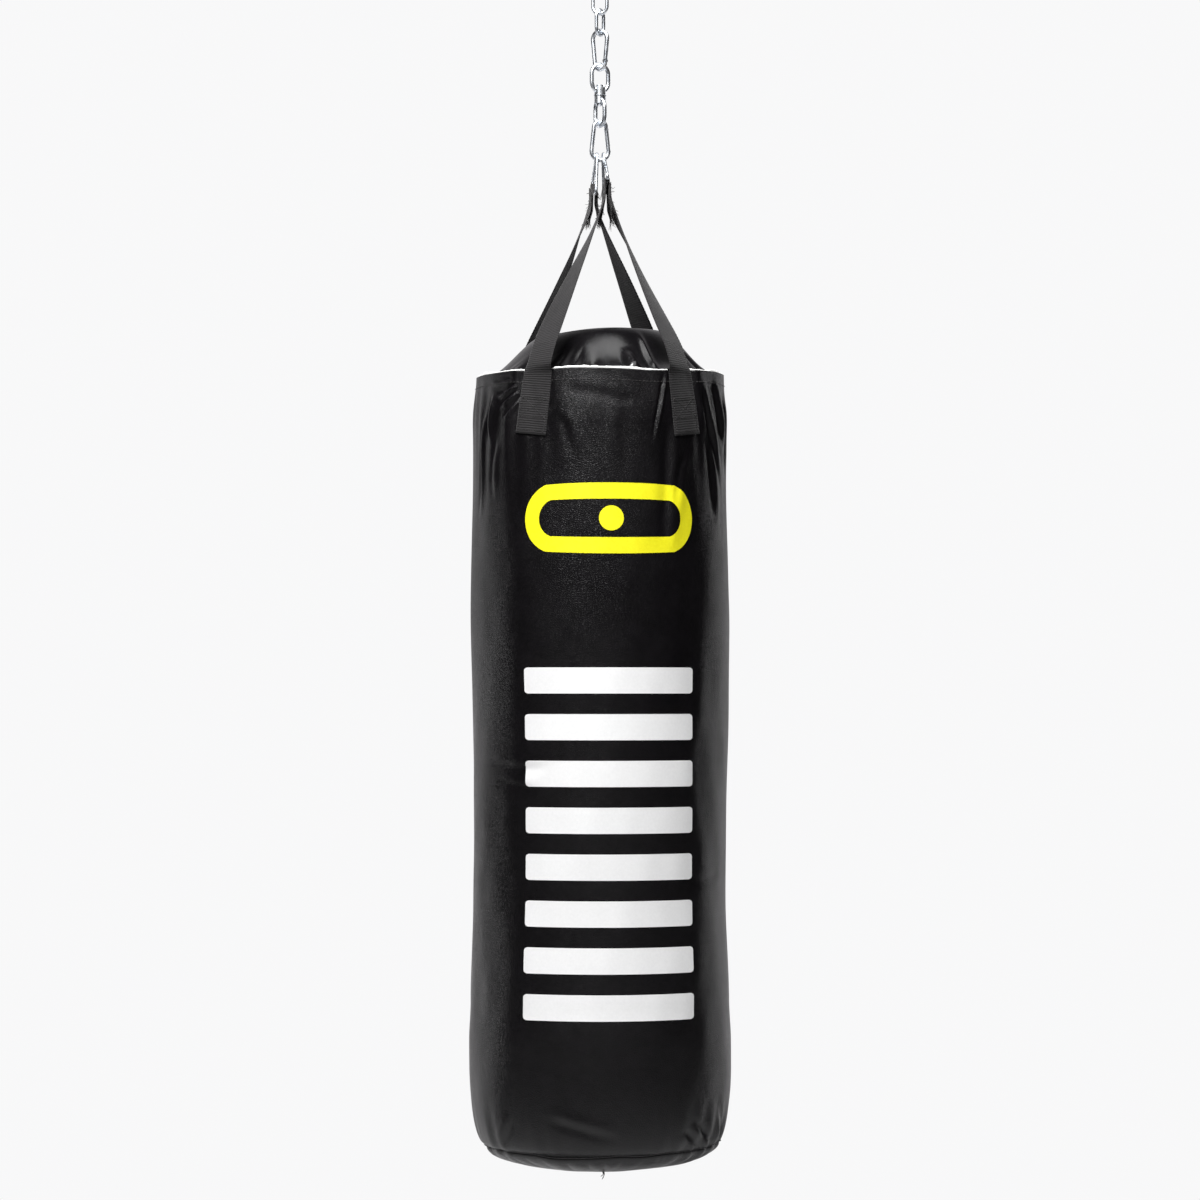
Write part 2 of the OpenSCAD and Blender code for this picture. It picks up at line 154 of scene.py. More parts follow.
def add_floor():
    """A pale round floor that fades into the surroundings at its edge."""
    rings, around, radius = 24, 96, 3.2
    verts = [(0, 0, FLOOR_Z)]
    for i in range(1, rings + 1):
        for j in range(around):
            a = 2 * math.pi * j / around
            verts.append((radius * i / rings * math.cos(a), radius * i / rings * math.sin(a), FLOOR_Z))
    faces = [(0, 1 + j, 1 + (j + 1) % around) for j in range(around)]
    for i in range(rings - 1):
        for j in range(around):
            a, b = 1 + i * around + j, 1 + i * around + (j + 1) % around
            faces.append((a, a + around, b + around, b))
    mesh = bpy.data.meshes.new("floor")
    mesh.from_pydata(verts, [], faces)
    floor = bpy.data.objects.new("floor", mesh)
    bpy.context.scene.collection.objects.link(floor)
    mat, nodes, links, bsdf = new_material("pale_floor")
    bsdf.inputs["Base Color"].default_value = (0.86, 0.86, 0.865, 1)
    bsdf.inputs["Roughness"].default_value = 0.8
    place = nodes.new("ShaderNodeTexCoord")
    length = nodes.new("ShaderNodeVectorMath")
    length.operation = "LENGTH"
    flat = nodes.new("ShaderNodeVectorMath")
    flat.operation = "MULTIPLY"
    flat.inputs[1].default_value = (1, 1, 0)
    links.new(place.outputs["Object"], flat.inputs[0])
    links.new(flat.outputs[0], length.inputs[0])
    fade = nodes.new("ShaderNodeMapRange")
    fade.interpolation_type = "SMOOTHSTEP"
    fade.inputs["From Min"].default_value = 0.9
    fade.inputs["From Max"].default_value = 3.0
    fade.inputs["To Min"].default_value = 1
    fade.inputs["To Max"].default_value = 0
    links.new(length.outputs["Value"], fade.inputs["Value"])
    links.new(fade.outputs[0], bsdf.inputs["Alpha"])
    mesh.materials.append(mat)


# ---------------------------------------------------------------- materials

def new_material(name):
    mat = bpy.data.materials.new(name)
    mat.use_nodes = True
    nodes, links = mat.node_tree.nodes, mat.node_tree.links
    return mat, nodes, links, nodes["Principled BSDF"]


def ramp(nodes, links, source, stops):
    """Colour ramp from a value, with stops [(place, grey or colour), ...]."""
    node = nodes.new("ShaderNodeValToRGB")
    marks = node.color_ramp.elements
    while len(marks) < len(stops):
        marks.new(0.5)
    for mark, (at, tone) in zip(marks, stops):
        mark.position = at
        mark.color = tone if isinstance(tone, tuple) else (tone, tone, tone, 1)
    links.new(source, node.inputs[0])
    return node.outputs["Color"]


def noise(nodes, links, vector, scale, detail=4, rough=0.55):
    node = nodes.new("ShaderNodeTexNoise")
    node.inputs["Scale"].default_value = scale
    node.inputs["Detail"].default_value = detail
    node.inputs["Roughness"].default_value = rough
    links.new(vector, node.inputs["Vector"])
    return node.outputs["Fac"]


def bump(nodes, links, height, distance, strength, under=None):
    node = nodes.new("ShaderNodeBump")
    node.inputs["Distance"].default_value = distance
    node.inputs["Strength"].default_value = strength
    links.new(height, node.inputs["Height"])
    if under:
        links.new(under, node.inputs["Normal"])
    return node.outputs["Normal"]


def vinyl(name, tone, rough_low, rough_high, grain, specular):
    """Black synthetic leather: fine pebble grain, patchy gloss, faint scuffs."""
    mat, nodes, links, bsdf = new_material(name)
    place = nodes.new("ShaderNodeTexCoord").outputs["Object"]
    cells = nodes.new("ShaderNodeTexVoronoi")
    cells.feature = "DISTANCE_TO_EDGE"
    cells.inputs["Scale"].default_value = 430
    links.new(place, cells.inputs["Vector"])
    pebble = ramp(nodes, links, cells.outputs["Distance"], [(0.0, 0.0), (0.22, 1.0)])
    fine = noise(nodes, links, place, 900, 2)
    broad = noise(nodes, links, place, 7, 5, 0.6)
    patches = nodes.new("ShaderNodeMapRange")
    patches.inputs["From Min"].default_value = 0.3
    patches.inputs["From Max"].default_value = 0.7
    patches.inputs["To Min"].default_value = rough_low
    patches.inputs["To Max"].default_value = rough_high
    links.new(broad, patches.inputs["Value"])
    links.new(patches.outputs[0], bsdf.inputs["Roughness"])
    worn = noise(nodes, links, place, 34, 6, 0.7)
    dark = tuple(t * 0.7 for t in tone) + (1,)
    lit = tuple(t * 1.5 for t in tone) + (1,)
    links.new(ramp(nodes, links, worn, [(0.35, dark), (0.7, lit)]), bsdf.inputs["Base Color"])
    first = bump(nodes, links, pebble, 0.25 * MM, grain)
    second = bump(nodes, links, fine, 0.15 * MM, grain * 0.6, first)
    third = bump(nodes, links, broad, 6 * MM, 0.12, second)
    links.new(third, bsdf.inputs["Normal"])
    bsdf.inputs["Specular IOR Level"].default_value = specular
    return mat


def webbing(name):
    """Ribbed nylon webbing, its colour darkened in the rib valleys as painted shade. The UV map is in metres,
    U across the strap and V along it.
    """
    mat, nodes, links, bsdf = new_material(name)
    uv = nodes.new("ShaderNodeUVMap").outputs["UV"]
    split = nodes.new("ShaderNodeSeparateXYZ")
    links.new(uv, split.inputs[0])

    def wave(source, pitch, phase=None):
        turn = nodes.new("ShaderNodeMath")
        turn.operation = "MULTIPLY_ADD"
        turn.inputs[1].default_value = 2 * math.pi / pitch
        links.new(source, turn.inputs[0])
        if phase:
            links.new(phase, turn.inputs[2])
        else:
            turn.inputs[2].default_value = 0
        sine = nodes.new("ShaderNodeMath")
        sine.operation = "SINE"
        links.new(turn.outputs[0], sine.inputs[0])
        half = nodes.new("ShaderNodeMath")
        half.operation = "MULTIPLY_ADD"
        half.inputs[1].default_value = 0.5
        half.inputs[2].default_value = 0.5
        links.new(sine.outputs[0], half.inputs[0])
        return half.outputs[0]

    wobble = noise(nodes, links, uv, 60, 3)
    shift = nodes.new("ShaderNodeMath")
    shift.operation = "MULTIPLY"
    shift.inputs[1].default_value = 3.5
    links.new(wobble, shift.inputs[0])
    ribs = wave(split.outputs["Y"], 3.2 * MM, shift.outputs[0])
    slant = nodes.new("ShaderNodeMath")
    slant.operation = "MULTIPLY"
    slant.inputs[1].default_value = 2500
    links.new(split.outputs["Y"], slant.inputs[0])
    yarns = wave(split.outputs["X"], 1.6 * MM, slant.outputs[0])
    height = nodes.new("ShaderNodeMath")
    height.operation = "MULTIPLY_ADD"
    height.inputs[1].default_value = 0.35
    links.new(yarns, height.inputs[0])
    links.new(ribs, height.inputs[2])
    fuzz = noise(nodes, links, uv, 1500, 3)
    patches = noise(nodes, links, uv, 45, 4, 0.6)
    # Base colour: painted shade in the valleys between ribs and painted highlight on their crests, times
    # random patchy tone
    rib_shade_and_tone = nodes.new("ShaderNodeMath")
    rib_shade_and_tone.operation = "MULTIPLY"
    links.new(ribs, rib_shade_and_tone.inputs[0])
    links.new(patches, rib_shade_and_tone.inputs[1])
    links.new(
        ramp(
            nodes, links, rib_shade_and_tone.outputs[0],
            [(0.05, (0.0022, 0.0019, 0.002, 1)), (0.5, (0.0145, 0.0122, 0.0138, 1))],
        ),
        bsdf.inputs["Base Color"],
    )
    first = bump(nodes, links, height.outputs[0], 0.5 * MM, 0.8)
    links.new(bump(nodes, links, fuzz, 0.2 * MM, 0.5, first), bsdf.inputs["Normal"])
    bsdf.inputs["Roughness"].default_value = 0.72
    bsdf.inputs["Sheen Weight"].default_value = 0.1
    bsdf.inputs["Sheen Roughness"].default_value = 0.5
    bsdf.inputs["Specular IOR Level"].default_value = 0.35
    return mat


def zinc(name):
    """Bright zinc plating: slightly blue, cloudy, with faint scratches."""
    mat, nodes, links, bsdf = new_material(name)
    place = nodes.new("ShaderNodeTexCoord").outputs["Object"]
    cloud = noise(nodes, links, place, 90, 5, 0.6)
    links.new(
        ramp(nodes, links, cloud, [(0.3, (0.74, 0.79, 0.86, 1)), (0.7, (0.94, 0.96, 0.98, 1))]),
        bsdf.inputs["Base Color"],
    )
    gloss = nodes.new("ShaderNodeMapRange")
    gloss.inputs["From Min"].default_value = 0.3
    gloss.inputs["From Max"].default_value = 0.7
    gloss.inputs["To Min"].default_value = 0.24
    gloss.inputs["To Max"].default_value = 0.42
    links.new(cloud, gloss.inputs["Value"])
    links.new(gloss.outputs[0], bsdf.inputs["Roughness"])
    scratches = noise(nodes, links, place, 1400, 2)
    links.new(bump(nodes, links, scratches, 0.05 * MM, 0.25), bsdf.inputs["Normal"])
    bsdf.inputs["Metallic"].default_value = 1
    return mat


def cloth_tone(name, low, high, scale, rough, distance=0.3 * MM, strength=0.5):
    """Plain fibrous material between two colours, for backing, thread and ink."""
    mat, nodes, links, bsdf = new_material(name)
    place = nodes.new("ShaderNodeTexCoord").outputs["Object"]
    spread = noise(nodes, links, place, scale, 5, 0.65)
    links.new(ramp(nodes, links, spread, [(0.3, low + (1,)), (0.7, high + (1,))]), bsdf.inputs["Base Color"])
    links.new(bump(nodes, links, spread, distance, strength), bsdf.inputs["Normal"])
    bsdf.inputs["Roughness"].default_value = rough
    return mat


# ---------------------------------------------------------------- mesh helpers

def make_object(name, verts, faces, mat, body, uvs=None):
    mesh = bpy.data.meshes.new(name)
    mesh.from_pydata([tuple(v) for v in verts], [], faces)
    if uvs is not None:
        layer = mesh.uv_layers.new(name="UVMap")
        corner = np.zeros(len(mesh.loops), int)
        mesh.loops.foreach_get("vertex_index", corner)
        layer.data.foreach_set("uv", np.asarray(uvs, float)[corner].ravel())
    mesh.polygons.foreach_set("use_smooth", [True] * len(mesh.polygons))
    mesh.materials.append(mat)
    mesh.update()
    obj = bpy.data.objects.new(name, mesh)
    bpy.context.scene.collection.objects.link(obj)
    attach(obj, body)
    return obj


def sheet_faces(rows, columns, wrap):
    """Quads of a grid of rows by columns, closed round the columns if wrap."""
    i, j = np.meshgrid(np.arange(rows - 1), np.arange(columns if wrap else columns - 1), indexing="ij")
    a = i * columns + j
    b = i * columns + (j + 1) % columns
    return np.stack([a, b, b + columns, a + columns], -1).reshape(-1, 4).tolist()


def revolve(name, radius, height, around, mat, body, shift=None):
    """Closed round body from profile rows; radius and height are (rows, around) arrays in order from
    the upper centre to the lower centre. shift adds to the points."""
    az = np.arange(around) * 2 * math.pi / around
    points = np.stack([radius * np.sin(az), -radius * np.cos(az), height], -1)
    if shift is not None:
        points = points + shift
    rows = len(points)
    verts = points.reshape(-1, 3)
    top = verts[:around].mean(0)
    low = verts[-around:].mean(0)
    verts = np.vstack([verts, top, low])
    faces = [f[::-1] for f in sheet_faces(rows, around, True)]
    n, last = rows * around, (rows - 1) * around
    faces += [(n, j, (j + 1) % around) for j in range(around)]
    faces += [(n + 1, last + (j + 1) % around, last + j) for j in range(around)]
    return make_object(name, verts, faces, mat, body)


def smooth(x):
    x = np.clip(x, 0, 1)
    return x * x * (3 - 2 * x)


def ripple(az, z, seed, count, turns, waves, height):
    """Sum of count soft waves that close round the bag: turns is the range of waves round it, waves the
    range of waves per metre of height."""
    rng = np.random.default_rng(seed)
    total = np.zeros(np.broadcast(az, z).shape)
    for _ in range(count):
        m = rng.integers(turns[0], turns[1] + 1) * rng.choice([-1, 1])
        k = rng.uniform(*waves) * 2 * math.pi
        total += np.cos(m * az + k * z + rng.uniform(0, 2 * math.pi)) * rng.uniform(0.5, 1)
    return total * height / math.sqrt(count)


def fold(s, z, path, width, depth, lip=0.7, wrap=None):
    """Crease along path [(s, z), ...] on a surface with arc length s and height z: a valley width wide and
    depth deep with a raised lip on its left, fading out at both ends."""
    result = np.zeros(s.shape)
    pts = np.array(path, float)
    for _ in range(3):
        cut = np.stack([0.75 * pts[:-1] + 0.25 * pts[1:], 0.25 * pts[:-1] + 0.75 * pts[1:]], 1).reshape(-1, 2)
        pts = np.vstack([pts[:1], cut, pts[-1:]])
    reach = 4 * width
    ds = s - pts[:, 0].mean()
    if wrap:
        ds = (ds + wrap / 2) % wrap - wrap / 2
    ss = ds + pts[:, 0].mean()
    near = (
        (ss > pts[:, 0].min() - reach) & (ss < pts[:, 0].max() + reach)
        & (z > pts[:, 1].min() - reach) & (z < pts[:, 1].max() + reach)
    )
    if not near.any():
        return result
    p = np.stack([ss[near], z[near]], -1)
    total = np.sum(np.hypot(*np.diff(pts, axis=0).T))
    best = np.full(len(p), 1e9)
    side = np.zeros(len(p))
    along = np.zeros(len(p))
    run = 0.0
    for a, b in zip(pts[:-1], pts[1:]):
        d = b - a
        length = np.hypot(*d)
        t = np.clip(((p - a) @ d) / length**2, 0, 1)
        gap = p - (a + t[:, None] * d)
        dist = np.hypot(gap[:, 0], gap[:, 1])
        closer = dist < best
        best = np.where(closer, dist, best)
        side = np.where(closer, np.sign(d[0] * gap[:, 1] - d[1] * gap[:, 0]), side)
        along = np.where(closer, (run + t * length) / total, along)
        run += length
    across = best * side / width
    fade = smooth(along * 4) * smooth((1 - along) * 2.5)
    shape = -np.exp(-across**2) + lip * np.exp(-((across - 1.7) / 1.2) ** 2)
    result[near] = depth * fade * shape
    return result


def tubes(name, paths, radius, mat, body, sides=6):
    """Fine threads: one closed tube per path of points, joined as one piece, thinner at the ends."""
    verts, faces = [], []
    turns = np.arange(sides) * 2 * math.pi / sides
    for path in paths:
        path = np.asarray(path, float)
        along = np.gradient(path, axis=0)
        along /= np.linalg.norm(along, axis=1)[:, None]
        up = np.array([0.31, 0.52, 0.79])
        first = np.cross(along, up)
        first /= np.linalg.norm(first, axis=1)[:, None]
        second = np.cross(along, first)
        thick = np.full(len(path), radius)
        thick[[0, -1]] *= 0.45
        start = len(verts)
        ring = first[:, None] * np.cos(turns)[None, :, None] + second[:, None] * np.sin(turns)[None, :, None]
        verts.extend((path[:, None] + ring * thick[:, None, None]).reshape(-1, 3).tolist())
        faces += [[start + k for k in f] for f in sheet_faces(len(path), sides, True)]
        last = start + (len(path) - 1) * sides
        faces.append([start + k for k in range(sides)][::-1])
        faces.append([last + k for k in range(sides)])
    return make_object(name, verts, faces, mat, body)


def stitch(a, b, out, height=0.35 * MM):
    """Four points of one sewn stitch from a to b, lifted along out in its middle."""
    a, b, out = (np.asarray(p, float) for p in (a, b, out))
    return [a, a + (b - a) * 0.2 + out * height, a + (b - a) * 0.8 + out * height, b]


# ---------------------------------------------------------------- shape of the bag

STRAP_SIDES = [math.radians(turn) + side * STRAP_AZ for turn in (0, 180) for side in (-1, 1)]
DROP = np.array([0, 75, 310, 500, 730, 870, 925, 1080]) * MM          # below the hem
GIRTH = np.array([172, 176, 179.5, 176.5, 175.5, 179, 181, 181]) * MM   # radius there
FOOT_H = 110 * MM


def turn_between(az, centre):
    """Signed angle from centre to az, between minus and plus half a turn."""
    return (az - centre + math.pi) % (2 * math.pi) - math.pi


def girth(z):
    """Radius of the smooth bag at height z: slightly waisted, rounded in towards the bottom seam."""
    drop = np.clip(HEM_Z - z, 0, DROP[-1])
    k = np.clip(np.searchsorted(DROP, drop, side="right") - 1, 0, len(DROP) - 2)
    part = smooth((drop - DROP[k]) / (DROP[k + 1] - DROP[k]))
    waist = GIRTH[k] + (GIRTH[k + 1] - GIRTH[k]) * part
    foot = np.clip((drop - (HEM_Z - SEAM_Z) + FOOT_H) / FOOT_H, 0, 1)
    return waist - (GIRTH[-1] - SEAM_R) * (1 - np.sqrt(1 - foot**2))


def seam_height(az):
    """Height of the bottom seam: drawn up at the sides, lowest at the front and back."""
    wave = 0.9 * np.sin(5 * az + 0.5) + 0.7 * np.sin(9 * az + 2) + 0.4 * np.sin(16 * az)
    return SEAM_Z + (2.5 + 2.5 * np.sin(az) - 5.3 * np.cos(az) ** 2 + wave) * MM


def hem_height(az):
    """Height of the cover's upper edge: a little wavy, with each flap's corners rounded beside a strap."""
    top = HEM_Z - 3 * MM + 2.0 * MM * np.sin(az) - 1.0 * MM * np.cos(az)
    front = np.exp(-((turn_between(az, 0) / 0.6) ** 2))
    top = top - 2.6 * MM * np.sin(3 * az) * front + 0.5 * MM * np.sin(7 * az + 2) + 0.3 * MM * np.sin(13 * az)
    for centre in STRAP_SIDES:
        across = turn_between(az, centre) * HEM_R / (18 * MM)
        top = top - 9 * MM * np.exp(-across**8)
    return top


# Creases of the cover as [(degrees from the front, mm below the hem), ...], width and depth in mm, lip
CREASES = [
    ([(25.0, 4), (22.0, 50), (19.5, 88), (19.0, 108)], 2.4, 2.2, 1.0),
    ([(26.5, 50), (26.0, 110), (25.0, 190), (23.5, 270)], 9, 3.2, 0.8),
    ([(36, 108), (31, 150), (30, 210)], 6, 1.8, 0.6),
    ([(47, 12), (52, 70), (60, 130), (63, 170)], 5, 3.4, 1.0),
    ([(58, 6), (62, 60), (69, 120)], 6, 3.0, 1.0),
    ([(50, 80), (55, 140), (57, 220)], 7, 2.6, 0.8),
    ([(70, 20), (74, 90), (76, 170)], 6, 2.8, 0.9),
    ([(-46, 20), (-53, 32), (-60, 36)], 2.6, 2.0, 1.0),
    ([(-45, 28), (-52, 44), (-58, 54)], 2.6, 2.2, 1.0),
    ([(-45, 38), (-50, 58), (-54, 72)], 2.8, 2.2, 1.0),
    ([(-47, 14), (-56, 18), (-64, 14)], 2.4, 1.8, 1.0),
    ([(-62, 30), (-66, 70), (-64, 110)], 4.5, 2.8, 1.0),
    ([(-68, 40), (-74, 90), (-72, 160), (-75, 210)], 5, 3.0, 1.0),
    ([(-58, 90), (-62, 140), (-60, 185)], 5, 2.0, 0.8),
    ([(-24, 30), (-8, 38), (6, 46), (18, 50)], 8, 0.8, 0.6),
    ([(-24, 62), (-19, 96), (-18, 130)], 7, 1.3, 0.6),
    ([(-66, 540), (-45, 548), (-24, 544)], 7, 1.1, 0.7),
    ([(-60, 562), (-40, 575), (-30, 572)], 6, 0.9, 0.7),
    ([(66, 690), (48, 700), (34, 696)], 7, 0.8, 0.6),
    ([(62, 1062), (50, 1040), (40, 1020)], 6, 2.2, 0.8),
    ([(50, 1066), (42, 1046), (33, 1036)], 6, 2.0, 0.8),
    ([(72, 1060), (66, 1034), (62, 1004)], 6, 2.0, 0.8),
    ([(-30, 1020), (-14, 1034), (6, 1050)], 7, 1.8, 0.8),
    ([(-58, 1064), (-50, 1040), (-46, 1016)], 6, 1.6, 0.8),
]


def strap_pull(az, z):
    """The cover drawn in under each strap, with a soft shoulder on either side that dies away below."""
    drop = HEM_Z - z
    total = 0
    for centre, foot in zip(STRAP_SIDES, (-1, 1, -1, 1)):
        lean = np.clip(drop / SEWN_H, 0, 1) * (STRAP_FOOT_AZ - STRAP_AZ) * foot
        across = turn_between(az, centre + lean) * BAG_R / MM * foot
        fade = 1 - smooth((drop / MM - 10) / 105)
        tilt = 6.5 * np.clip(1 - drop / SEWN_H, 0, 1)
        total = total - (3.4 * fade + tilt * across / 25) * MM * np.exp(-((across / 29) ** 6))
        total = total + 1.8 * MM * fade * np.exp(-(((np.abs(across) - 40) / 12) ** 2))
    return total


def back_creases():
    """Tension folds beside the rear straps, drawn from a seed."""
    rng = np.random.default_rng(31)
    folds = []
    for strap in (146, 214):
        for side in (-1, 1):
            for _ in range(4):
                az = strap + side * rng.uniform(11, 17)
                top = rng.uniform(8, 50)
                path = [(az, top)]
                for _ in range(3):
                    az += side * rng.uniform(1, 6)
                    top += rng.uniform(30, 60)
                    path.append((az, top))
                folds.append((path, rng.uniform(3.5, 7), rng.uniform(1.8, 3.4), rng.uniform(0.7, 1)))
    for _ in range(10):
        az = rng.uniform(90, 270)
        path = [(az, 1062), (az + rng.uniform(-8, 8), 1040), (az + rng.uniform(-16, 16), 1010)]
        folds.append((path, rng.uniform(5, 8), rng.uniform(1.2, 2.2), 0.8))
    for _ in range(5):
        az, drop = rng.uniform(100, 240), rng.uniform(250, 900)
        path = [(az, drop), (az + 16, drop + rng.uniform(-10, 10)), (az + 34, drop + rng.uniform(-14, 14))]
        folds.append((path, rng.uniform(6, 9), rng.uniform(0.7, 1.2), 0.7))
    return folds


def dents(az, z):
    """Everything that the smooth bag lacks: broad lumps of the fill, soft ripples and creases."""
    az, z = np.broadcast_arrays(np.asarray(az, float), np.asarray(z, float))
    around = 2 * math.pi * BAG_R
    drop = (HEM_Z - z) / MM
    shape = ripple(az, z, 5, 14, (2, 9), (0.4, 2.2), 1.5 * MM)
    shape = shape + ripple(az, z, 8, 22, (8, 26), (2, 9), 0.35 * MM)
    upright = ripple(az, z, 12, 16, (16, 44), (0.1, 1.5), 1.5 * MM)
    upright = upright * (1 - 0.7 * np.exp(-((turn_between(az, 0) / 0.5) ** 4)))
    shape = shape + upright * (1 - smooth((drop - 30) / 210)) * smooth((drop - 6) / 50)
    shape = shape + upright * 0.8 * smooth((drop - 985) / 70)
    side = az * BAG_R
    for path, width, depth, lip in CREASES + back_creases():
        points = [(math.radians(a) * BAG_R, HEM_Z - d * MM) for a, d in path]
        shape = shape + fold(side, z, points, width * MM, depth * MM, lip, around)
    return shape + strap_pull(az, z)


def cover_point(az, z, lift=0.0):
    """Points on the cover's outer surface, lift above it."""
    az, z = np.broadcast_arrays(np.asarray(az, float), np.asarray(z, float))
    radius = girth(z) + dents(az, z) + lift
    return np.stack([radius * np.sin(az), -radius * np.cos(az), z], -1)


# ---------------------------------------------------------------- cover, facing and panels

def add_shell(mat):
    """The cover as a closed skin: hidden lid, inner face, rounded upper edge, outer face, rolled seam."""
    around, rows = 760, 470
    az = np.arange(around) * 2 * math.pi / around
    top = hem_height(az)
    spread = np.linspace(0, 1, rows)[:, None]
    spread = spread - 0.045 * np.sin(2 * math.pi * spread)
    outer_z = top + (seam_height(az) - top) * spread
    outer = girth(outer_z) + dents(az, outer_z)
    edge = outer[0]
    inside = edge - COVER_T
    lid_z = np.full(around, HEM_Z - 34 * MM)
    radius = [0.25 * inside, inside - 1 * MM, inside, inside + 0.3 * MM, (inside + edge) / 2, edge - 0.3 * MM]
    height = [lid_z, lid_z, top - 1.2 * MM, top - 0.2 * MM, top + 0.3 * MM, top + 0.1 * MM]
    radius += list(outer)
    height += list(outer_z)
    low = outer[-1]
    seam = outer_z[-1]
    radius += [low - 1.2 * MM, low - 3.5 * MM, low - 8 * MM, 0.3 * low]
    height += [seam - 1.2 * MM, seam - 1.4 * MM, seam + 2 * MM, seam + 3 * MM]
    shell = revolve("cover_shell", np.array(radius), np.array(height), around, mat, "bag")
    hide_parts("shell")


def add_hem_backing_and_highlight(mat):
    """Pale backing that shows as a rough line just above the cover's upper edge; the line is partly the real
    backing and partly a painted highlight standing in for the glossy edge catching the light.
    """
    around = 720
    az = np.arange(around) * 2 * math.pi / around
    rng = np.random.default_rng(4)
    top = hem_height(az)
    rough = np.convolve(rng.normal(0, 1, around + 8), np.ones(9) / 9, "same")[4:-4] * 1.2
    # how far the pale line stands proud round the bag: partly backing, partly painted highlight
    band = 0.8 + 1.0 * np.sin(2 * az + 1.1) ** 2 + np.abs(rough) + 0.7 * np.sin(9 * az + 1) * np.sin(4 * az)
    proud = np.clip(band * 1.5, 0.3, 4.2) * MM
    edge = girth(top) + dents(az, top) - COVER_T - 0.2 * MM
    thick = 1.8 * MM
    radius = np.array([edge - thick, edge - thick, edge - thick * 0.6, edge - thick * 0.2, edge, edge])
    height = np.array([
        top - 24 * MM, top + proud * 0.6, top + proud,
        top + proud * 0.9, top + proud * 0.3, top - 24 * MM,
    ])
    points = np.stack([radius * np.sin(az), -radius * np.cos(az), height], -1)
    rows = len(points)
    faces = sheet_faces(rows, around, True)
    last = (rows - 1) * around
    faces += [(last + j, last + (j + 1) % around, (j + 1) % around, j) for j in range(around)]
    facing = make_object("hem_backing_and_highlight", points.reshape(-1, 3), faces, mat, "bag")
    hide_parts("hem_facing")


def add_hem_stitches(mat):
    """A row of stitches all round, below the upper edge, hidden by the straps where they cross it."""
    count, length = 214, 3.4 * MM
    paths = []
    for k in range(count):
        az = 2 * math.pi * k / count
        z = hem_height(az) - 15.5 * MM
        half = length / 2 / HEM_R
        a, b = cover_point([az - half, az + half], [z, z], 0.05 * MM)
        out = (math.sin(az), -math.cos(az), 0)
        paths.append(stitch(a, b, out))
    row = tubes("hem_stitches", paths, 0.45 * MM, mat, "bag")
    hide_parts("hem_thread")


def crown(radius, az):
    """Height of the top cover: a wavy plateau that slopes to its rim in gathered folds."""
    r = radius / MM
    fall = smooth((r - 78) / 88)
    lift = 64 * (1 - fall)
    lift = lift + 5 * np.sin(az - 0.3) * np.exp(-(((r - 105) / 38) ** 2))
    lift = lift + 1.6 * np.sin(2 * az + 0.6) * smooth(r / 60) + 1.2 * np.sin(3 * az + 2.2) * smooth(r / 90)
    swing = 0.5 * np.sin(2 * az + 1) + 0.35 * np.sin(5 * az) + 0.3 * np.sin(3 * az + 2)
    start = 112 + 12 * np.sin(4 * az + 0.4) + 9 * np.sin(9 * az + 1.5)
    reach = smooth((r - start) / 46) * (1 - 0.4 * smooth((r - 150) / 14))
    puffs = np.sqrt(np.sin(6.5 * az + 1.9 * swing) ** 2 + 0.06) - 0.6
    lift = lift + 7 * puffs * reach
    fine = np.sqrt(np.sin(14.5 * az + 2.9 * swing + 0.03 * r) ** 2 + 0.04) - 0.6
    lift = lift + 3.4 * fine * smooth((r - start - 16) / 26)
    pleat = turn_between(az, math.radians(11.5)) * r
    tall = np.exp(-((np.abs(pleat) / 8.5) ** 2.6)) * smooth((r - 118) / 30)
    lift = lift + 11 * tall
    knife = turn_between(az, math.radians(25)) * r + 0.12 * (r - 130)
    lift = lift + 6 * np.exp(-((knife / 5) ** 2)) * smooth((r - 92) / 36) * (1 - smooth((r - 150) / 14))
    return HEM_Z - 6 * MM + lift * MM


def add_top_cover(mat):
    """Gathered vinyl disc over the fill, tucked down inside the cover's upper edge."""
    around, rows = 720, 150
    az = np.arange(around) * 2 * math.pi / around
    rim = 165.5 * MM + 0 * az
    spread = np.linspace(0.02, 1, rows)[:, None]
    radius = rim * spread
    height = crown(radius, az)
    tuck = np.array([[0.6, -6], [0.8, -16], [0.8, -30], [-8, -30]]) * MM
    radius = np.vstack([radius] + [rim + t[0] for t in tuck])
    height = np.vstack([height] + [HEM_Z + t[1] + 0 * az for t in tuck])
    lid = revolve("top_cover_gathers", radius, height, around, mat, "bag")
    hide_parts("top_cover")


def add_fill(mat):
    """Packed filling, which the cover hides."""
    around, rows = 96, 60
    az = np.arange(around) * 2 * math.pi / around
    crown_r = np.linspace(0.1, 1, 20)[:, None] * (152 * MM) + 0 * az
    crown_z = crown(crown_r, az) - 10 * MM
    side_z = HEM_Z - 42 * MM + (SEAM_Z + 42 * MM - HEM_Z) * np.linspace(0, 1, rows)[:, None] + 0 * az
    side_r = girth(side_z) - 11 * MM
    under_r = side_r[-1:] * np.linspace(0.97, 0.1, 12)[:, None]
    under_z = SEAM_Z + 4 * MM - 24 * MM * np.sqrt(np.clip(1 - (under_r / SEAM_R) ** 2, 0, 1))
    radius = np.vstack([crown_r, side_r, under_r])
    height = np.vstack([crown_z, side_z, under_z])
    core = revolve("packed_fill", radius, height, around, mat, "bag")
    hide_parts("fill")


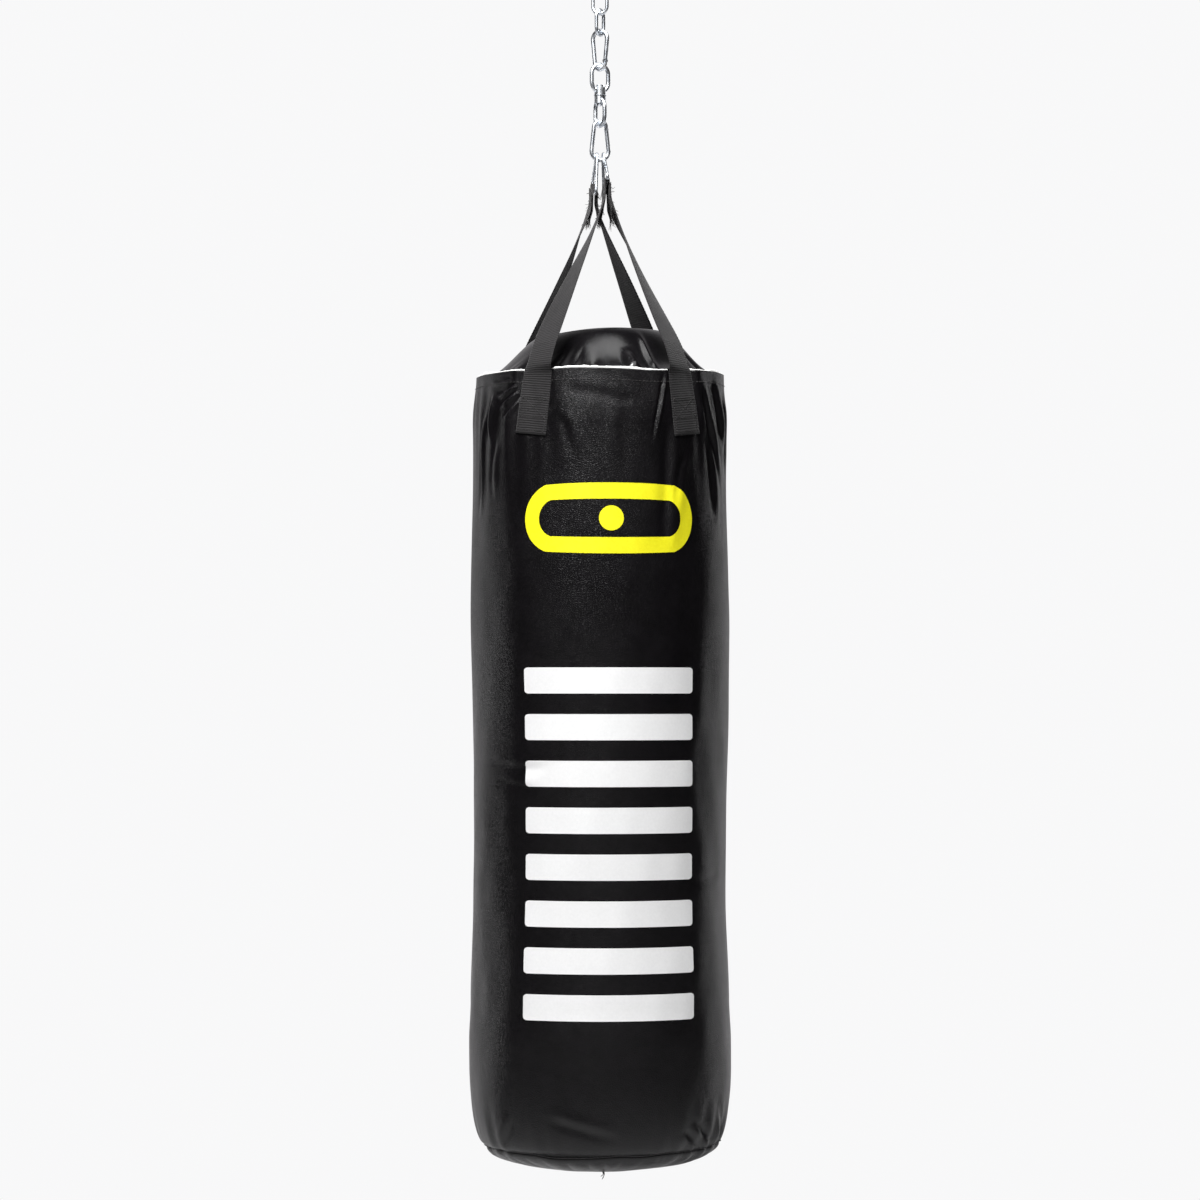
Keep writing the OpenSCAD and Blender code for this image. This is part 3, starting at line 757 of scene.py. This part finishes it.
def bottom_height(part, az, seam):
    """Height of the bottom panel at a part (0 to 1) of the way from its centre to the seam at height seam."""
    hang = (seam - BOTTOM_Z) * np.sqrt(np.clip(1 - part**2, 0, 1))
    swing = 0.6 * np.sin(3 * az + 1) + 0.4 * np.sin(7 * az)
    window = smooth((part - 0.6) / 0.3) * (1 - smooth((part - 0.94) / 0.06))
    gathers = (np.abs(np.sin(15 * az + 2 * swing)) ** 0.8 - 0.6) * window
    sag = ripple(az, part, 21, 8, (2, 7), (0.5, 1.4), 0.9 * MM) * (1 - part)
    return seam - hang - 1.6 * MM * gathers - sag


def add_bottom(mat):
    around, rows = 540, 90
    az = np.arange(around) * 2 * math.pi / around
    seam = seam_height(az)
    rim = girth(seam) + dents(az, seam) - 1.2 * MM
    part = np.sin(np.linspace(math.pi / 2, 0.04, rows))[:, None]
    radius = np.vstack([0.5 * rim, rim - 6 * MM, rim - 1 * MM, rim * part])
    sagging = bottom_height(part, az, seam - 1.6 * MM)
    height = np.vstack([seam + 1.5 * MM, seam + 1.0 * MM, seam - 0.6 * MM, sagging])
    panel = revolve("bottom_panel_gathers", radius, height, around, mat, "bag")
    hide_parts("bottom_panel")


def add_bottom_stitches(mat):
    """Stitches round the bottom seam and the loose ends of its thread at the front."""
    count = 200
    paths = []
    for k in range(count):
        az = 2 * math.pi * k / count
        z = float(seam_height(az)) + 0.4 * MM
        half = 1.9 * MM / SEAM_R
        a, b = cover_point([az - half, az + half], [z, z], 0.2 * MM)
        paths.append(stitch(a, b, (math.sin(az), -math.cos(az), -0.6), 0.5 * MM))
    start = np.array([-4 * MM, -88 * MM, float(bottom_height(0.55, 0, SEAM_Z - 5 * MM)) + 1 * MM])
    for turn, size in ((0.6, 9), (-0.5, 7), (0.1, 11)):
        k = np.linspace(0, 1, 9)[:, None]
        aside = np.sin(k * 4 + turn) * 1.6 * MM + k * turn * 4 * MM
        paths.append(start + np.hstack([aside, -1.2 * MM * np.sin(k * 3), -size * MM * k]))
    row = tubes("bottom_stitches", paths, 0.5 * MM, mat, "bag")
    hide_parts("bottom_thread")


# ---------------------------------------------------------------- straps

LEAN_DOWN = np.array([0, -math.sin(RING_LEAN), -math.cos(RING_LEAN)])
BAR_ALONG = np.array([0, math.cos(RING_LEAN), -math.sin(RING_LEAN)])
ACROSS = np.linspace(-1, 1, 25)
TWIST = [0, 0.10, 0.22, 0.36, 0.34, 0.64, 1]      # share of the turn towards the ring bar, up a strap


def half_turn(points, half):
    """Points of the front pair of straps, or turned half round for the rear pair."""
    return points * np.array([-1, -1, 1]) if half else points


def strap_knots(side):
    """Corners of a strap's middle line: sewn foot, upper edge of the cover, parting, ring bar."""
    foot_z = HEM_Z - SEWN_H
    foot_az, hem_az = side * STRAP_FOOT_AZ, side * STRAP_AZ
    foot_r, hem_r = girth(np.float64(foot_z)) + 1.4 * MM, HEM_R + 1.4 * MM
    bar = np.array([BAR_X + side * LEG_X, BAR_Y, BAR_Z])
    return np.array([
        [foot_r * math.sin(foot_az), -foot_r * math.cos(foot_az), foot_z],
        [hem_r * math.sin(hem_az), -hem_r * math.cos(hem_az), HEM_Z + 11 * MM],
        bar + LEAN_DOWN * NECK_H,
        bar + LEAN_DOWN * 3 * MM,
    ])


def strap_middle(knots, s):
    """Points at lengths s along the middle line, its corners eased, most of all over the cover's edge."""
    lengths = np.concatenate([[0], np.cumsum(np.linalg.norm(np.diff(knots, axis=0), axis=1))])
    total = 0
    ease = 8 * MM + 22 * MM * np.exp(-(((s - lengths[1]) / (70 * MM)) ** 2))
    for step in (-1, -0.5, 0, 0.5, 1):
        at = s + step * ease
        point = np.stack([np.interp(at, lengths, knots[:, k]) for k in range(3)], -1)
        low = (at < 0)[:, None] * (at[:, None] * (knots[1] - knots[0]) / lengths[1])
        high_dir = (knots[3] - knots[2]) / (lengths[3] - lengths[2])
        high = (at > lengths[3])[:, None] * ((at - lengths[3])[:, None] * high_dir)
        total = total + point + low + high
    return total / 5, lengths


def strap_frame(side, s):
    """Middle line, across and outward directions, and lengths along a strap at lengths s."""
    knots = strap_knots(side)
    middle, lengths = strap_middle(knots, s)
    ahead = strap_middle(knots, s + 3 * MM)[0] - strap_middle(knots, s - 3 * MM)[0]
    along = ahead / np.linalg.norm(ahead, axis=1)[:, None]
    az = side * np.interp(s, [0, lengths[1]], [STRAP_FOOT_AZ, STRAP_AZ])
    at = [0, 24 * MM, 51 * MM, SEWN_H, 150 * MM, 0.74 * lengths[2], lengths[2]]
    turn = np.interp(s, at, TWIST)
    for _ in range(3):
        if len(s) > 9:
            turn = (np.interp(s - 9 * MM, s, turn) + turn + np.interp(s + 9 * MM, s, turn)) / 3
    turn = turn[:, None]
    tangent = np.stack([np.cos(az), np.sin(az), 0 * az], -1)
    width = tangent * (1 - turn) + BAR_ALONG * side * turn
    width -= along * np.sum(width * along, 1)[:, None]
    width /= np.linalg.norm(width, axis=1)[:, None]
    out = np.cross(width, along)
    return middle, width, out, turn[:, 0], lengths


def strap_points(side, s, across, lift):
    """Points of a strap at lengths s and places across (-1 to 1), lift above its middle surface.
    Below the upper edge it lies on the cover."""
    middle, width, out, turn, lengths = strap_frame(side, s)
    narrow = 1 - 0.10 * smooth((s - lengths[1] - 90 * MM) / (120 * MM))
    half = WEB_W / 2 * narrow
    reach = (across[None, :] * half[:, None])[:, :, None]
    free = smooth((s - lengths[1]) / (60 * MM))
    bow = -((1 - turn) ** 2 / (2 * BAG_R))[:, None] * reach[:, :, 0] ** 2
    cup = (free * 1.6 * MM)[:, None] * (across[None, :] ** 2) * np.sin(s * 14 + side)[:, None]
    flat = middle[:, None] + width[:, None] * reach + out[:, None] * (bow + cup)[:, :, None]
    az = np.arctan2(flat[..., 0], -flat[..., 1])
    held = smooth((HEM_Z + 6 * MM - flat[..., 2]) / (16 * MM))
    z = np.minimum(flat[..., 2], HEM_Z - 6 * MM)
    lying = cover_point(az, z, 1.1 * MM)
    radius = np.hypot(flat[..., 0], flat[..., 1])
    rest = np.hypot(lying[..., 0], lying[..., 1])
    new = radius + (rest - radius) * held
    scale = (new / radius)[..., None]
    placed = np.concatenate([flat[..., :2] * scale, flat[..., 2:]], -1)
    lift = np.broadcast_to(np.asarray(lift, float), placed.shape[:2])
    return placed + out[:, None] * lift[..., None]


def add_strap(name, node, half, side, mat, thread):
    """One strap as a ribbon with rounded edges, its foot sewn to the cover."""
    lengths = strap_middle(strap_knots(side), np.zeros(1))[1]
    s = np.linspace(0, lengths[-1], 210)
    edge = np.sqrt(np.clip(1 - ACROSS**6, 0, 1))
    rim = np.where(np.abs(ACROSS) > 0.9, 0.25, 0.0)
    thick = (WEB_T / 2 * (0.35 + 0.65 * edge) + rim * 0.35 * MM)[None, :]
    frayed = np.sin(s * 2100)[:, None] * (np.abs(ACROSS) > 0.99)[None, :] * 0.25 * MM
    front = strap_points(side, s, ACROSS, thick + frayed)
    back = strap_points(side, s, ACROSS, -thick)
    loop = np.concatenate([front, back[:, ::-1]], 1)
    rows, columns = loop.shape[:2]
    u = np.concatenate([ACROSS, ACROSS[::-1]]) * WEB_W / 2
    uvs = np.stack(np.broadcast_arrays(u[None, :], s[:, None]), -1).reshape(-1, 2)
    faces = [f[::-1] if side > 0 else f for f in sheet_faces(rows, columns, True)]
    faces.append(list(range(columns)))
    faces.append(list(range((rows - 1) * columns, rows * columns))[::-1])
    points = half_turn(loop.reshape(-1, 3), half)
    strap = make_object(name, points, faces, mat, "bag", uvs)
    set_normals_out(strap)
    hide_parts(node)
    add_strap_stitches(name + "_stitches", half, side, thread)


def set_normals_out(obj):
    """Turn every face of a closed mesh outwards."""
    form = bmesh.new()
    form.from_mesh(obj.data)
    bmesh.ops.recalc_face_normals(form, faces=form.faces)
    form.to_mesh(obj.data)
    form.free()


def strap_line(half, side, a, b, step):
    """Stitches from a to b on a strap, each end being (across, length along)."""
    a, b = np.array(a, float), np.array(b, float)
    reach = math.hypot((b[0] - a[0]) * WEB_W / 2, b[1] - a[1])
    count = max(int(reach / step), 1)
    paths = []
    for k in range(count):
        ends = []
        for part in ((k + 0.16) / count, (k + 0.84) / count):
            at = a + (b - a) * part
            point = strap_points(side, np.array([at[1]]), np.array([at[0]]), 0.75 * MM)[0, 0]
            ends.append(half_turn(point, half))
        out = ends[0] * np.array([1, 1, 0])
        paths.append(stitch(ends[0], ends[1], out / np.linalg.norm(out), 0.3 * MM))
    return paths


def add_strap_stitches(name, half, side, mat):
    """A box with a cross in it, an upper double row and a row at the foot."""
    low, mid, high = 5 * MM, 24 * MM, 51 * MM
    wide = 0.86
    lines = [
        ((-wide, low), (wide, low)), ((-wide, mid), (wide, mid)), ((-wide, high), (wide, high)),
        ((-wide, high - 2.6 * MM), (wide, high - 2.6 * MM)),
        ((-wide, low), (-wide, high)), ((wide, low), (wide, high)),
        ((-wide, mid), (wide, high)), ((wide, mid), (-wide, high)),
    ]
    paths = []
    for a, b in lines:
        paths += strap_line(half, side, a, b, 3.6 * MM)
    tubes(name, paths, 0.36 * MM, mat, "bag")


def add_loop(name, node, half, mat):
    """Short webbing over the ring bar, its two tails hanging down and spreading a little."""
    inner = 2.25 * MM + 0.1 * MM + WEB_T / 2
    tail = 42 * MM
    down = np.linspace(tail, 0, 40)
    turn = np.linspace(0, math.pi, 24)
    spread = 3.4 * MM * smooth((down - 24 * MM) / (18 * MM))
    x = np.concatenate([-inner - spread, -inner * np.cos(turn[1:-1]), (inner + spread)[::-1]])
    z = np.concatenate([-down, inner * np.sin(turn[1:-1]), -down[::-1]])
    s = np.concatenate([[0], np.cumsum(np.hypot(np.diff(x), np.diff(z)))])
    nx, nz = np.gradient(z, s), -np.gradient(x, s)
    narrow = 1 - 0.08 * smooth((np.abs(s - s[-1] / 2) - 8 * MM) / (30 * MM))
    local_x = BAR_X + x
    across = ACROSS[None, :] * (WEB_W / 2 * narrow)[:, None]
    middle = np.array([0, BAR_Y, BAR_Z]) + across[..., None] * BAR_ALONG
    middle = middle - z[:, None, None] * LEAN_DOWN
    middle[..., 0] = local_x[:, None]
    out = nx[:, None] * np.array([1, 0, 0]) - nz[:, None] * LEAN_DOWN
    out /= np.linalg.norm(out, axis=1)[:, None]
    thick = WEB_T / 2 * (0.35 + 0.65 * np.sqrt(np.clip(1 - ACROSS**6, 0, 1)))
    front = middle - out[:, None] * thick[None, :, None]
    back = middle + out[:, None] * thick[None, :, None]
    ring = np.concatenate([front, back[:, ::-1]], 1)
    rows, columns = ring.shape[:2]
    u = np.concatenate([ACROSS, ACROSS[::-1]]) * WEB_W / 2
    uvs = np.stack(np.broadcast_arrays(u[None, :], s[:, None]), -1).reshape(-1, 2)
    faces = sheet_faces(rows, columns, True)
    faces.append(list(range(columns))[::-1])
    faces.append(list(range((rows - 1) * columns, rows * columns)))
    obj = make_object(name, half_turn(ring.reshape(-1, 3), half), faces, mat, "bag", uvs)
    set_normals_out(obj)
    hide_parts(node)
    return [half_turn(middle[k], half) for k in (0, -1)]


def add_frays(name, ends, half, mat):
    """Loose yarn where the tails were cut, and stray threads at the neck stitching."""
    rng = np.random.default_rng(17 + half)
    paths = []
    for end in ends:
        side = np.sign(end[:, 0].mean() - (-BAR_X if half else BAR_X))
        for k in range(46):
            start = end[rng.integers(0, len(end))]
            length = rng.uniform(4, 13) * MM
            reach = np.array([side * rng.uniform(-0.1, 0.9), rng.uniform(-0.35, 0.35), -1.0])
            bend = rng.uniform(-1, 1, 3) * 2.5 * MM
            t = np.linspace(0, 1, 7)[:, None]
            paths.append(start + reach * length * t + bend * t**2 + np.sin(t * 9 + k) * 0.4 * MM)
    for _ in range(20):
        down = rng.uniform(4, 34) * MM
        base = np.array([BAR_X, BAR_Y, BAR_Z]) + LEAN_DOWN * down + BAR_ALONG * rng.uniform(-22, 22) * MM
        side = rng.choice([-1, 1])
        base = base + np.array([side * (LEG_X + WEB_T * 0.8), 0, 0])
        t = np.linspace(0, 1, 6)[:, None]
        reach = np.array([side * rng.uniform(0.4, 1), rng.uniform(-0.4, 0.4), rng.uniform(-0.9, 0.5)])
        path = base + reach * rng.uniform(3, 8) * MM * t + rng.uniform(-1, 1, 3) * 2 * MM * t**2
        paths.append(half_turn(path, half))
    tubes(name, paths, 0.28 * MM, mat, "bag", 5)


def add_neck_stitches(name, half, mat):
    """Rows of stitching through the doubled neck, seen on both straps' outer faces."""
    paths = []
    for side in (-1, 1):
        face = LEG_X + WEB_T * 0.55
        for down in (5, 9, 20, 24):
            for k in range(11):
                y = (-20 + 4 * k) * MM
                ends = []
                for part in (0.15, 0.85):
                    point = np.array([BAR_X, BAR_Y, BAR_Z]) + LEAN_DOWN * down * MM
                    point = point + BAR_ALONG * (y + part * 4 * MM) + np.array([side * face, 0, 0])
                    ends.append(half_turn(point, half))
                out = np.array([side, 0, 0]) * (-1 if half else 1)
                paths.append(stitch(ends[0], ends[1], out))
    tubes(name, paths, 0.36 * MM, mat, "bag")


# ---------------------------------------------------------------- printed marks

PRINT_PROUD = 0.4 * MM


def add_patch(name, side, z, faces, mat):
    """A thin printed area that follows the cover; side is the distance round from the front."""
    points = cover_point(side / BAG_R, z, PRINT_PROUD)
    return make_object(name, points.reshape(-1, 3), faces, mat, "bag")


def add_bar(name, middle_z, width, height, corner, mat):
    """Plain bar with rounded corners, centred on the front."""
    up = np.linspace(-height / 2, height / 2, 24)
    over = np.clip(np.abs(up) - (height / 2 - corner), 0, corner)
    half = width / 2 - corner + np.sqrt(corner**2 - over**2)
    side = np.linspace(-1, 1, 150)[None, :] * half[:, None]
    z = middle_z + up[:, None] + 0 * side
    return add_patch(name, side, z, sheet_faces(24, 150, False), mat)


def add_ring_mark(name, middle_z, width, height, line, mat):
    """Long rounded ring, centred on the front."""
    around, rows = 240, 12
    turn = np.arange(around) * 2 * math.pi / around
    r_out = height / 2
    reach = width / 2 - r_out
    far = np.sign(np.cos(turn)) * reach * np.minimum(1, np.abs(np.cos(turn)) * 3)
    radius = (r_out - np.linspace(0, line, rows))[:, None]
    side = far[None, :] + radius * np.cos(turn)
    z = middle_z + radius * np.sin(turn)
    return add_patch(name, side, z, sheet_faces(rows, around, True), mat)


def add_disc_mark(name, middle_z, radius, mat):
    around, rows = 72, 14
    turn = np.arange(around) * 2 * math.pi / around
    size = np.linspace(radius, 0.4 * MM, rows)[:, None]
    faces = sheet_faces(rows, around, True)
    faces.append([(rows - 1) * around + j for j in range(around)])
    return add_patch(name, size * np.cos(turn), middle_z + size * np.sin(turn), faces, mat)


def add_prints(yellow, white):
    add_ring_mark("print_ring", HEM_Z - 207 * MM, 246 * MM, 96 * MM, 22 * MM, yellow)
    add_disc_mark("print_dot", HEM_Z - 207 * MM, 17 * MM, yellow)
    first, last, count = 395 * MM, 900 * MM, 8
    pitch = (last - first) / count
    for k in range(count):
        middle = HEM_Z - first - pitch * (k + 0.5)
        add_bar(f"print_bar_{k + 1}", middle, 250 * MM, pitch * 0.56, 5 * MM, white)


# ---------------------------------------------------------------- the whole object

def paint_nodes(names, mat):
    for name in names:
        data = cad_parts[name].data
        if not data.materials:
            data.materials.append(mat)
        for k in range(len(data.materials)):
            data.materials[k] = mat


def light_studio():
    mid = (0, 0, BOTTOM_Z + 0.7)
    add_area("key", (-0.7, -1.75, BOTTOM_Z + 3.7), mid, (1.6, 1.1), 200)
    add_area("front", (-1.2, -3.6, BOTTOM_Z + 1.85), mid, (1.0, 1.0), 4)
    add_area("top", (0.1, -0.5, 0.9), (0, 0, HEM_Z), (1.6, 1.2), 20)
    add_area("strip_left", (-1.75, 1.7, BOTTOM_Z + 0.7), mid, (0.3, 2.4), 6)
    add_area("strip_right", (1.75, 1.6, BOTTOM_Z + 0.8), mid, (0.3, 2.4), 6)
    add_area("chain", (-0.5, -0.9, 0.35), (0, 0, -0.2), (0.8, 0.8), 4)


bpy.context.scene.view_settings.view_transform = "Standard"
add_camera()
add_world()
add_floor()
light_studio()

ZINC = zinc("zinc_plate")
VINYL = vinyl("black_vinyl", (0.0026, 0.0021, 0.0028), 0.28, 0.40, 0.8, 0.32)
GLOSS = vinyl("gloss_vinyl", (0.0036, 0.0032, 0.0038), 0.17, 0.28, 0.16, 0.5)
WEBBING = webbing("ribbed_webbing")
# pale colour partly the backing's own and partly a painted highlight along the cover's upper edge
PALE_BACKING_AND_HIGHLIGHT = cloth_tone("pale_backing_and_highlight", (0.66, 0.66, 0.64), (0.93, 0.93, 0.92), 420, 0.9)
THREAD = cloth_tone("black_thread", (0.012, 0.011, 0.011), (0.05, 0.047, 0.047), 900, 0.6)
PADDING = cloth_tone("grey_padding", (0.3, 0.28, 0.25), (0.6, 0.57, 0.53), 120, 0.95)
YELLOW = cloth_tone("yellow_ink", (0.86, 0.80, 0.01), (0.93, 0.88, 0.02), 260, 0.42, 0.12 * MM, 0.3)
WHITE = cloth_tone("white_ink", (0.90, 0.90, 0.90), (0.95, 0.95, 0.95), 260, 0.42, 0.12 * MM, 0.3)

replaced_soft = ["shell", "hem_facing", "hem_thread", "top_cover", "bottom_panel", "bottom_thread", "fill"]
hardware = [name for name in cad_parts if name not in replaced_soft
            and not name.endswith(("_strap", "_loop"))]
paint_nodes(hardware, ZINC)

add_shell(VINYL)
add_hem_backing_and_highlight(PALE_BACKING_AND_HIGHLIGHT)
add_hem_stitches(THREAD)
add_top_cover(GLOSS)
add_fill(PADDING)
add_bottom(VINYL)
add_bottom_stitches(THREAD)
for half, which in enumerate(("front", "rear")):
    for side, hand in ((-1, "left" if half == 0 else "right"), (1, "right" if half == 0 else "left")):
        add_strap(f"{which}_{hand}_ribbon", f"{which}_{hand}_strap", half, side, WEBBING, THREAD)
    ends = add_loop(f"{which}_neck_loop", f"{which}_loop", half, WEBBING)
    add_frays(f"{which}_frays", ends, half, THREAD)
    add_neck_stitches(f"{which}_neck_stitches", half, THREAD)
add_prints(YELLOW, WHITE)
